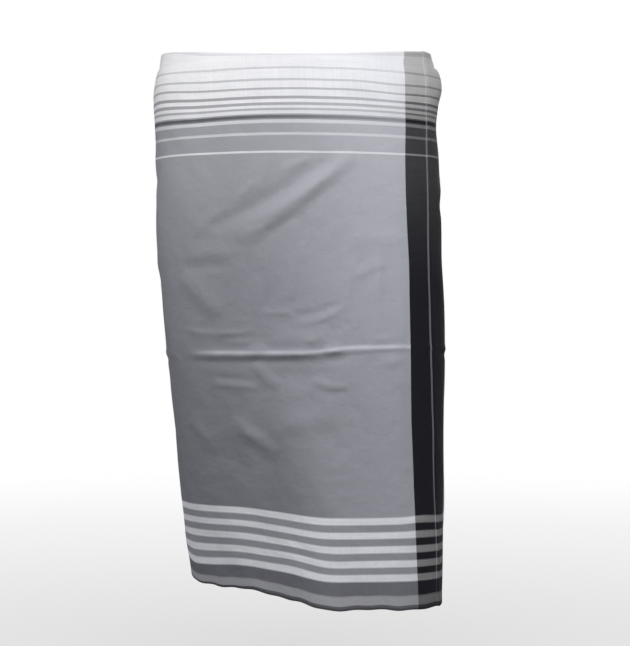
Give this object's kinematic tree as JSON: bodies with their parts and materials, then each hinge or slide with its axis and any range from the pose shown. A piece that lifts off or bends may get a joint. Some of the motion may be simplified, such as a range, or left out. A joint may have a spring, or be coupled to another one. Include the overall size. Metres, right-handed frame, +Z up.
{
  "type": "longyi sarong worn as a hollow tube",
  "caption": "Ankle-length longyi of striped grey cotton with a black side band, worn hollow and open at the waist and the hem.",
  "frame": {"origin": "middle of the waist opening, at the height of the front waist edge, where the wearer holds the cloth up", "axes": "+Z up out of the waist, +X to the right of the front as it is looked at, -Y out of the front"},
  "size_m": [0.5116, 0.3224, 0.9646],
  "materials": {
    "grey_cotton": "matt plain-woven cotton, black threads crossed with white, with white and graded grey stripes",
    "black_cotton": "matt plain-woven black cotton with a pale line"
  },
  "bodies": {
    "root": {"front_waist_border": "grey_cotton", "band_waist_border": "black_cotton", "back_waist_border": "grey_cotton", "front_upper_field": "grey_cotton", "band_upper_field": "black_cotton", "back_upper_field": "grey_cotton", "front_lower_field": "grey_cotton", "band_lower_field": "black_cotton", "back_lower_field": "grey_cotton", "front_hem_border": "grey_cotton", "band_hem_border": "black_cotton", "back_hem_border": "grey_cotton", "side_seam": "black_cotton"}
  },
  "joints": []
}
